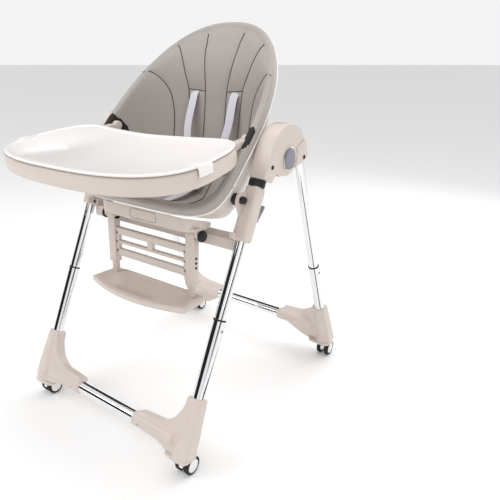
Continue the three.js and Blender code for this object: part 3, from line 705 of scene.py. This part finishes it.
def makeFootrest():
    makePiece("footrest_ladder", ladderFrame(), creamPlastic, "footrest", ["footrest_frame"],
              footrestFrame)
    deck = loft([plateRing(inset, z) for inset, z in (
        (7, -189), (2, -188), (0, -184), (0, -176), (1.5, -172.5), (5, -171), (13, -171),
        (15, -173), (40, -173))])
    stems = []
    for side in (-1, 1):
        stems.append(moved(cuboid(132.8, 151.2, -9, 5.6, -176, -62, 1.5, 2), mirrorOf(side)))
    makePiece("footrest_deck", joined(deck, *stems), creamPlastic, "footrest_plate",
              ["footrest_plate"], footrestFrame)
    for name, side in sides:
        knob = turned([(0, 179), (9, 179), (12.5, 178.2), (14.6, 176), (15, 173), (15, 170), (5, 169.8),
                       (5, 141), (0, 141)], 40)
        makePiece(f"footrest_pivot_knob_{name}", moved(knob, alongX), blackPlastic,
                  f"footrest_knob_{name}", [f"footrest_knob_{name}"],
                  mirrorOf(side) @ footrestFrame)
        # thin black plates on each rail: painted shade of the adjustment holes
        for k, z in enumerate((-62, -75, -88)):
            hole = moved(prism(rounded([(-5, -3.4, 3), (4, -3.4, 3), (4, 3.4, 3), (-5, 3.4, 3)], 4), 155.4, 156.3, 0.1, 1),
                         mirrorOf(side) @ shift(0, -2, z) @ sideways)
            makePiece(f"footrest_hole_shade_{k}_{name}", hole, blackPlastic, "footrest", (),
                      footrestFrame)


# ---------- bucket

bucket = {"half": 247, "middle": 32, "up": 406, "down": 179, "pole": 20, "depth": 212, "rimDeep": 22,
          "wall": 4, "around": 400, "puff": 5.0, "rimLift": 11.0}


def rimPoint(angle, grow):
    c, s = math.cos(angle), math.sin(angle)
    power = 2.3 if s > 0 else 5.2
    high = (bucket["up"] if s > 0 else bucket["down"]) + grow
    return (math.copysign((bucket["half"] + grow) * abs(c) ** (2 / power), c),
            bucket["middle"] + math.copysign(high * abs(s) ** (2 / power), s))


def bowlPoint(angle, share, grow, sink):
    x, s = rimPoint(angle, grow)
    up, low = max(0.0, math.sin(angle)) ** 2, max(0.0, -math.sin(angle)) ** 2
    level = 1 - up - low
    first = 2.5 * up + 3 * level + 1.8 * low
    second = 3 * up + 0.7 * level + low
    depth = bucket["rimDeep"] + sink + (bucket["depth"] - bucket["rimDeep"]) * max(0.0, 1 - share ** first) ** second
    return Vector((x * share, depth, bucket["pole"] + (s - bucket["pole"]) * share))


def ringAngles(count):
    # evenly spaced along the rim, not in angle, so that square corners keep their points
    fine = [2 * math.pi * i / 4000 for i in range(4001)]
    length = [0.0]
    for a, b in zip(fine, fine[1:]):
        p, q = rimPoint(a, 0), rimPoint(b, 0)
        length.append(length[-1] + math.hypot(p[0] - q[0], p[1] - q[1]))
    angles, k = [], 0
    for i in range(count):
        want = length[-1] * (i + 0.5) / count
        while length[k + 1] < want:
            k += 1
        angles.append(fine[k] + (fine[k + 1] - fine[k]) * (want - length[k]) / (length[k + 1] - length[k]))
    return angles


rimAngles = ringAngles(bucket["around"])


def rimRing(grow, depth):
    return [Vector((*rimPoint(a, grow), 0)).xzy + Vector((0, depth, 0)) for a in rimAngles]


def bowlRings(grow, sink, shares):
    return [[bowlPoint(a, share, grow, sink) for a in rimAngles] for share in shares]


def makeShell():
    wall = bucket["wall"]
    shares = [0.04] + [i / 30 for i in range(2, 31)]
    outside = bowlRings(0, 0, shares)
    lip = [rimRing(0, 6), rimRing(0, 2), rimRing(-0.8, 1), rimRing(-wall + 0.8, 1), rimRing(-wall, 2)]
    inside = bowlRings(-wall, -wall, shares)[::-1]
    makePiece("bucket_shell", loft(outside + lip + inside), shellPlastic, "bucket",
              ["seat_shell"],
              bucketFrame, 60)


# seams of the pad in the plane of the rim: (across, up) points, made on both sides
padSeams = [
    [(61, 404), (56, 376), (53, 350), (42, 297), (37, 262), (36, 200), (36, 120), (38, 40), (40, -40), (41, -95)],
    [(150, 366), (135, 350), (122, 328), (108, 298), (92, 262), (87, 200), (85, 120), (86, 60), (92, 0), (98, -60)],
    [(216, 254), (204, 262), (178, 264), (150, 250), (136, 220), (130, 170), (130, 110), (136, 50), (146, -10)],
    [(37, 266), (60, 267), (92, 266)],
]


def smoothRun(points, stepsFor):
    # a smooth run through the points; stepsFor gives the steps for a length
    path = [Vector(p) for p in points]
    out = []
    for i in range(len(path) - 1):
        a, b = path[i], path[i + 1]
        before = path[i - 1] if i else a * 2 - b
        after = path[i + 2] if i + 2 < len(path) else b * 2 - a
        steps = stepsFor((b - a).length)
        for k in range(steps):
            t = k / steps
            out.append(0.5 * ((2 * a) + (b - before) * t
                              + (2 * before - 5 * a + 4 * b - after) * t * t
                              + (3 * a - before - 3 * b + after) * t ** 3))
    return out + [path[-1]]


def seamPath(points):
    return smoothRun([(x, s, 0) for x, s in points], lambda length: max(2, int(length / 2.5)))


seamRuns = [[Vector((k * p.x, p.y, 0)) for p in seamPath(points)] for points in padSeams for k in (-1, 1)]
seamTree = KDTree(sum(len(run) for run in seamRuns))
for number, point in enumerate(p for run in seamRuns for p in run):
    seamTree.insert(point, number)
seamTree.balance()


def bowlShare(x, s, grow):
    # the angle and share whose point of the bowl lies at (x, s)
    want = math.atan2(s - bucket["pole"], x)
    low, high = (0.0, math.pi) if want > 0 else (-math.pi, 0.0)
    for _ in range(40):
        middle = (low + high) / 2
        rx, rs = rimPoint(middle, grow)
        if math.atan2(rs - bucket["pole"], rx) < want:
            low = middle
        else:
            high = middle
    rx, rs = rimPoint(middle, grow)
    return middle, math.hypot(x, s - bucket["pole"]) / math.hypot(rx, rs - bucket["pole"])


padFace = -15


def padPoint(angle, share):
    here = bowlPoint(angle, share, padFace, padFace)
    step = (bowlPoint(angle, min(1, share + 0.01), padFace, padFace)
            - bowlPoint(angle, max(0, share - 0.01), padFace, padFace))
    beside = bowlPoint(angle + 0.01, share, padFace, padFace) - bowlPoint(angle - 0.01, share, padFace, padFace)
    normal = step.cross(beside)
    normal = normal.normalized() if normal.length > 1e-9 else Vector((0, -1, 0))
    if normal.y > 0:
        normal.negate()
    gap = seamTree.find((here.x, here.z, 0))[2]
    rise = bucket["puff"] * (1 - math.exp(-gap / 9)) * min(1, (1 - share) * 9 + 0.55) * min(1, share * 6 + 0.3)
    here = here + normal * (rise - 2.2)
    # the cover thickens towards the rim and rolls straight over it
    here.y -= bucket["rimLift"] * max(0.0, (share - 0.8) / 0.2) ** 2
    return here


def makePad():
    back = -bucket["wall"] - 0.6
    shares = [0.02, 0.05] + [i / 90 for i in range(8, 91)]
    front = [[padPoint(a, share) for a in rimAngles] for share in shares]
    roll = [rimRing(grow, depth) for grow, depth in (
        (-12.5, -5.6), (-9, -7.2), (-5, -8.2), (-1, -7.8), (2, -6), (3.8, -3), (4.2, 0), (4.4, 6), (4.2, 12),
        (3.6, 15.5), (1.2, 15.5), (1.0, 12), (1.0, 0))]
    behind = bowlRings(back, back, [1, 0.97, 0.9, 0.8, 0.65, 0.5, 0.35, 0.2, 0.08])
    pad = makePiece("padded_liner", loft(front + roll + [rimRing(back, 0)] + behind), padLeather,
                    "bucket",
                    ["seat_pad"], bucketFrame, 60)
    # faces of the cover round the tray's arms at the rim are given black: painted shade of the arms' openings, the
    # cover is not cut away
    pad.data.materials.append(blackPlastic)
    toBucket = bucketFrame.inverted() @ Matrix.Scale(1000, 4)
    for face in pad.data.polygons:
        here = toBucket @ face.center
        if ((abs(here.x) - 230) / 20) ** 4 + ((here.z - 70) / 32) ** 4 < 1:
            face.material_index = 1
    # dark cords along the pad's seams: the seam lines, their darkness painted shade of the creases between the puffed
    # panels
    seamShadeCords = []
    for run in seamRuns:
        points = [padPoint(*bowlShare(p.x, p.y, padFace)) + Vector((0, -0.9, 0.3)) for p in run]
        seamShadeCords.append(cord(points, 1.5, 6))
    makePiece("pad_seam_shade_cords", joined(*seamShadeCords), seamLineAndShade, "bucket", (), bucketFrame)
    makePiece("rim_piping", cord(rimRing(2.2, 19.2), 2.6, 10, True), whitePiping, "bucket",
              (), bucketFrame)
    makePiece("rim_shadow_cord", cord(rimRing(1.8, 16.2), 1.6, 8, True), seamLineAndShade, "bucket",
              (), bucketFrame)


def makeBucketFittings():
    handle = rounded([(37, 360, 3), (43, 367, 5), (99, 337, 6), (93, 326, 6), (62, 336, 12), (46, 345, 5)], 5)
    makePiece("recline_grip", moved(prism(handle, -42, 42, 4, 4), sideways), greyPlastic, "recline_handle",
              ["recline_handle"], bucketFrame)
    hook = rounded([(120, 254, 2), (133, 262, 7), (139, 288, 4), (132, 290, 2), (126, 270, 5), (120, 268, 2)], 5)
    prongs = [moved(prism(hook, 38, 50, 2, 3), mirrorOf(side) @ sideways) for side in (-1, 1)]
    makePiece("basket_hook", joined(cuboid(-58, 58, 115, 121, 253, 270, 2), *prongs), creamPlastic, "bucket",
              ["storage_hook"], bucketFrame)


def strapPiece(name, points, half, node):
    path = smoothRun(points, lambda length: 16)
    rings = []
    for p in path:
        left, right, face = p.x - half, p.x + half, p.y - 1.6
        rings.append([(left, p.y, p.z), (right, p.y, p.z), (right, face, p.z), (left, face, p.z)])
    bm = loft(rings)
    layer = bm.loops.layers.uv.new("strap")
    for face in bm.faces:
        for loop in face.loops:
            loop[layer].uv = (loop.vert.co.x * 0.01, loop.vert.co.z * 0.01)
    piece = makePiece(name, bm, webbing, "bucket", [node], bucketFrame)
    return piece


def makeHarness():
    for name, side in sides:
        strap = strapPiece(f"harness_shoulder_{name}",
                           [(side * 70, 74, 266), (side * 69, 80, 240), (side * 66, 126, 150), (side * 14, 177, 63)], 12.5,
                           f"shoulder_strap_{name}")
        x = side * 70
        # a thin dark plate over each strap slot: painted shade of the opening in the cover
        slot = rounded([(x - 16, -4, 4), (x + 16, -4, 4), (x + 16, 4, 4), (x - 16, 4, 4)], 4)
        aim = shift(0, 77, 268) @ Matrix.Rotation(math.radians(-55), 4, "X")
        makePiece(f"strap_slot_shade_{name}", moved(prism(slot, -1.2, 1.2, 0.4, 2), aim), seamLineAndShade,
                  "bucket", (), bucketFrame)
    crotch = strapPiece("harness_crotch", [(0, 110, -74), (0, 148, -30), (0, 178, 11)], 12.5, "crotch_strap")
    outline = rounded([(-24, -25, 8), (24, -25, 8), (20, 25, 10), (-20, 25, 10)], 6)
    shell = moved(prism(outline, -7, 7, 3, 4), shift(0, 178, 37) @ facing)
    button = moved(turned([(0, 1.6), (8, 1.6), (9.5, 0.6), (9.5, -2), (0, -2)], 32),
                   shift(0, 171.4, 37) @ Matrix.Rotation(math.radians(90), 4, "X"))
    makePiece("buckle_shell", shell, whitePlastic, "bucket", ["harness_buckle"], bucketFrame)
    makePiece("buckle_button", button, greyPlastic, "bucket", (), bucketFrame)


# ---------- tray

tray = {"half": 296, "front": 172, "deep": 46, "cup": (-127, -86), "cupRadius": 57}


def trayOutline(inset):
    half, front = tray["half"] - inset, tray["front"] - inset
    bow = []
    for i in range(97):
        a = math.pi * (1 + i / 96)
        c, s = math.cos(a), math.sin(a)
        bow.append((math.copysign(half * abs(c) ** (2 / 2.67), c), -front * abs(s) ** (2 / 2.67)))
    rear = [(290, 60), (284, 92), (270, 128), (251, 151), (225, 160), (190, 158), (110, 142), (0, 130)]
    rear = [(x - inset * (1 if x > 200 else 0), y - inset * (1 if x < 255 else 0.5)) for x, y in rear]
    rear = [(half, 0)] + rear + [(-x, y) for x, y in rear[:-1][::-1]] + [(-half, 0)]
    smooth = smoothRun([(x, y, 0) for x, y in rear], lambda length: 8)
    return bow + [(p.x, p.y) for p in smooth[1:-1]]


def trayRing(inset, z):
    return [(x, y, z) for x, y in trayOutline(inset)]


def makeTray():
    deep = -tray["deep"]
    outer = [trayRing(inset, z) for inset, z in (
        (8, -10), (8, deep + 4), (6, deep), (4.5, deep), (1.6, deep + 2), (0.3, deep + 7),
        (0, -24), (0.6, -12), (2, -7.6), (4, -6), (12, -6))]
    makePiece("tray_body", loft(outer), creamPlastic, "tray", ["tray_base"], trayFrame, 50)
    lid = loft([trayRing(inset, z) for inset, z in (
        (9, -5.6), (3, -5.6), (1.4, -4.4), (1.6, -1.6), (3.4, -0.2), (5.5, 0), (12, 0),
        (14, -0.8), (16.5, -2.4), (18, -2.8))],
               True, (True, False))
    edges = [e for e in lid.edges if e.is_boundary]
    cx, cy = tray["cup"]
    mouth = [lid.verts.new((x, y, -2.8)) for x, y in arc(cx, cy, tray["cupRadius"], 0, 360, 64)[:-1]]
    circle = [lid.edges.new((mouth[i - 1], mouth[i])) for i in range(len(mouth))]
    bmesh.ops.triangle_fill(lid, edges=edges + circle, use_beauty=True)
    for radius, z in ((55.4, -3.4), (54, -4.6), (53.4, -5.3)):
        made = bmesh.ops.extrude_edge_only(lid, edges=circle)["geom"]
        fresh = [v for v in made if isinstance(v, bmesh.types.BMVert)]
        for v in fresh:
            way = Vector((v.co.x - cx, v.co.y - cy)).normalized() * radius
            v.co = (cx + way.x, cy + way.y, z)
        circle = [e for e in made if isinstance(e, bmesh.types.BMEdge) and all(v in fresh for v in e.verts)]
    bmesh.ops.triangle_fill(lid, edges=circle, use_beauty=True)
    makePiece("tray_lid", lid, whitePlastic, "tray_insert", ["tray_insert"], trayFrame, 50)
    # a dark cord where the lid meets the body: painted shadow of the gap between them
    makePiece("lid_shadow_line", cord([(x, y, -5.9) for x, y in trayOutline(0.9)], 0.7, 6, True), grooveShade,
              "tray", (), trayFrame)
    for name, side in sides:
        turn = mirrorOf(side)
        clip = rounded([(275, -4.8, 0.5), (275, 1.4, 1.5), (298, 1.4, 5), (301, -6, 7), (300.6, -23, 3),
                        (297.2, -23, 1), (297, -8, 3), (294.6, -4.8, 2)], 4)
        makePiece(f"tray_clip_{name}", moved(prism(clip, -39.5, 2.5, 2, 3), turn @ facing), whitePlastic,
                  f"tray_latch_{name}", [f"tray_latch_{name}"], trayFrame)
        y, z = chair["armPivot"]
        bar = rounded([(35, z - 8, 2), (y - 12, z - 8, 6), (y - 12, z + 8, 6), (35, z + 8, 2)], 3)
        arm = moved(prism(bar, 216.5, 236.8, 3, 3), sideways)
        barrel = moved(turned(rodProfile(13, 214.5, 238.2, 2), 40), shift(0, y, z) @ alongX)
        makePiece(f"tray_swing_arm_{name}", moved(joined(arm, barrel), turn), creamPlastic, "tray_arms",
                  [f"tray_arm_{name}"], trayFrame)
        makePiece(f"tray_release_{name}", moved(cuboid(250.5, 273.5, 70.5, 85.5, -56, -15, 3), turn),
                  blackPlastic,
                  f"tray_button_{name}", [f"tray_button_{name}"], trayFrame)
    post = rounded([(122, -10.8, 1), (88, -10.8, 1), (90, -60, 30), (96, -108, 8), (104, -114, 6),
                    (114, -108, 8), (120, -60, 30)], 5)
    makePiece("tray_post", moved(prism(post, -20, 20, 6, 4), sideways), creamPlastic, "tray",
              ["crotch_post"], trayFrame)


# ---------- studio

studio = {"camera": (0.932, -1.115, 0.966), "azimuth": 39.31, "elevation": 22.23, "lens": 38.05, "shift": (0.12, 0.04)}


def makeStudio():
    lens = bpy.data.cameras.new("camera")
    lens.lens = studio["lens"]
    lens.sensor_width = 36
    lens.shift_x, lens.shift_y = studio["shift"]
    lens.clip_start, lens.clip_end = 0.05, 50
    camera = bpy.data.objects.new("camera", lens)
    azimuth, elevation = math.radians(studio["azimuth"]), math.radians(studio["elevation"])
    level = math.cos(elevation)
    aim = Vector((-math.sin(azimuth) * level, math.cos(azimuth) * level, -math.sin(elevation)))
    camera.rotation_mode = "QUATERNION"
    camera.rotation_quaternion = aim.to_track_quat("-Z", "Y")
    camera.location = studio["camera"]
    linkObject(camera)
    bpy.context.scene.camera = camera
    floor = bpy.data.meshes.new("floor")
    bm = bmesh.new()
    bmesh.ops.create_grid(bm, x_segments=2, y_segments=2, size=60)
    bm.to_mesh(floor)
    bm.free()
    ground = bpy.data.objects.new("floor", floor)
    linkObject(ground)
    material, tree, shader = newMaterial("white studio floor")
    shader.inputs["Base Color"].default_value = linear("#F4F4F4")
    shader.inputs["Roughness"].default_value = 0.6
    floor.materials.append(material)
    # a black flag lying on the floor, seen only in the polished tubes
    flag = bpy.data.meshes.new("flag")
    bm = bmesh.new()
    bm.faces.new([bm.verts.new(p) for p in ((0.325, 0.400, 0.004), (0.400, 0.345, 0.004), (0.86, -0.20, 0.004),
                                            (0.60, -0.20, 0.004))])
    bm.to_mesh(flag)
    bm.free()
    card = bpy.data.objects.new("flag", flag)
    linkObject(card)
    felt, tree, shader = newMaterial("black studio felt")
    shader.inputs["Base Color"].default_value = (0.003, 0.003, 0.003, 1)
    shader.inputs["Roughness"].default_value = 1.0
    shader.inputs["Specular IOR Level"].default_value = 0.0
    flag.materials.append(felt)
    card.visible_camera = card.visible_diffuse = card.visible_shadow = card.visible_transmission = False
    for name, place, aimAt, size, power, colour in (
            ("key", (-1.6, -2.2, 2.6), (0, 0, 0.6), 1.8, 30, "#FFFFFF"),
            ("fill", (2.6, -1.4, 1.6), (0, 0, 0.6), 1.6, 9, "#FFFFFF"),
            ("top", (0.3, 0.6, 3.0), (0, 0, 0.6), 2.4, 27, "#FFFFFF"),
            ("back", (0.4, 2.8, 1.8), (0, 0, 0.7), 1.8, 16, "#FFFFFF")):
        lamp = bpy.data.lights.new(name, "AREA")
        lamp.size = size
        lamp.energy = power
        lamp.color = linear(colour)[:3]
        light = bpy.data.objects.new(name, lamp)
        light.location = place
        light.rotation_mode = "QUATERNION"
        light.rotation_quaternion = (Vector(aimAt) - Vector(place)).to_track_quat("-Z", "Y")
        linkObject(light)
    world = bpy.data.worlds.new("studio")
    world.use_nodes = True
    tree = world.node_tree
    shine = tree.nodes["Background"]
    # seen in polished metal the room is white with dark panels, as in a product studio
    direction = addNode(tree, "TexCoord").outputs["Generated"]
    split = addNode(tree, "SeparateXYZ", None, {0: direction})
    around = addNode(tree, "Math", {"operation": "ARCTAN2"}, {0: split.outputs["X"], 1: split.outputs["Y"]})
    thrice = addNode(tree, "Math", {"operation": "MULTIPLY", 1: 3.0}, {0: around.outputs[0]})
    waves = addNode(tree, "Math", {"operation": "SINE"}, {0: thrice.outputs[0]})
    ramp = addNode(tree, "ValToRGB", None, {0: waves.outputs[0]})
    ramp.color_ramp.elements[0].position = 0.30
    ramp.color_ramp.elements[0].color = (0.02, 0.02, 0.02, 1)
    ramp.color_ramp.elements[1].position = 0.45
    ramp.color_ramp.elements[1].color = (1.0, 1.0, 1.0, 1)
    glossy = addNode(tree, "LightPath").outputs["Is Glossy Ray"]
    mix = addNode(tree, "Mix", {"data_type": "RGBA", 6: (1.0, 1.0, 1.0, 1)},
                  {0: glossy, 7: ramp.outputs["Color"]})
    tree.links.new(mix.outputs[2], shine.inputs["Color"])
    shine.inputs["Strength"].default_value = 0.9
    bpy.context.scene.world = world
    bpy.context.scene.view_settings.view_transform = "Standard"


makeStudio()
print("studio ready")
makeLegs()
makeFeet()
makeCasters()
print("frame and casters made")
makeHinges()
makeCarriage()
makeSeatBase()
makeFootrest()
print("hinges, carriage and footrest made")
makeShell()
makePad()
makeBucketFittings()
makeHarness()
print("bucket made")
makeTray()
print("tray made")
